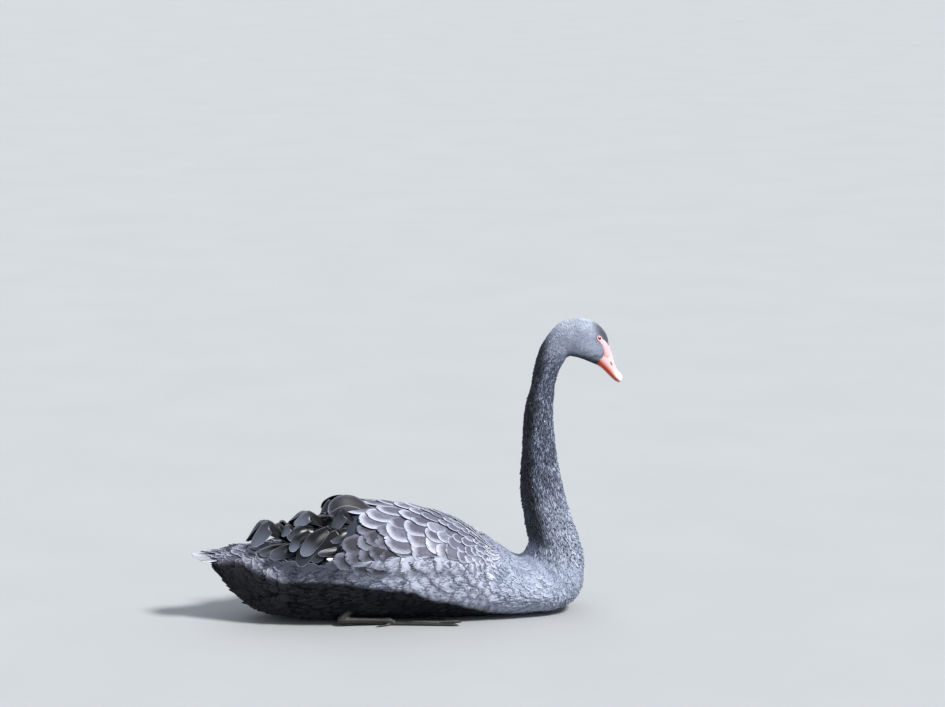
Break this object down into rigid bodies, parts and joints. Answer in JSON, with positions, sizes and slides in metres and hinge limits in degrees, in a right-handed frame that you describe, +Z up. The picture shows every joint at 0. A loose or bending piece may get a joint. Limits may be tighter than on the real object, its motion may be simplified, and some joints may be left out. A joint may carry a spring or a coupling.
{
  "type": "life-size black swan model",
  "caption": "Life-size still model of a black swan sitting on its belly, neck raised and bill lowered, wings folded with curled feathers over the rump, webbed feet tucked beside the belly.",
  "frame": {"origin": "centre of the flat under the belly, on the floor", "axes": "+X forward towards the bill, +Y to the bird's left, +Z up"},
  "size_m": [0.8662, 0.3042, 0.5842],
  "materials": {
    "plumage": "small soft body feathers, dark grey to black with pale grey edges",
    "flight_feathers": "broad feather vanes, glossy black with a silky lustre",
    "bill": "red horn, satin, with a paler ridge and a whitish band near the tip",
    "eye": "wet and glossy, red with a black pupil",
    "leg_skin": "black scaly skin with webs between the toes"
  },
  "bodies": {
    "root": {"torso": "plumage", "neck_lower": "plumage", "neck_middle": "plumage", "neck_upper": "plumage", "head": "plumage", "bill_upper": "bill", "bill_lower": "bill", "eye_left": "eye", "eye_right": "eye", "wing_left": "flight_feathers", "wing_right": "flight_feathers", "tail": "flight_feathers", "leg_left": "leg_skin", "leg_right": "leg_skin"}
  },
  "joints": []
}
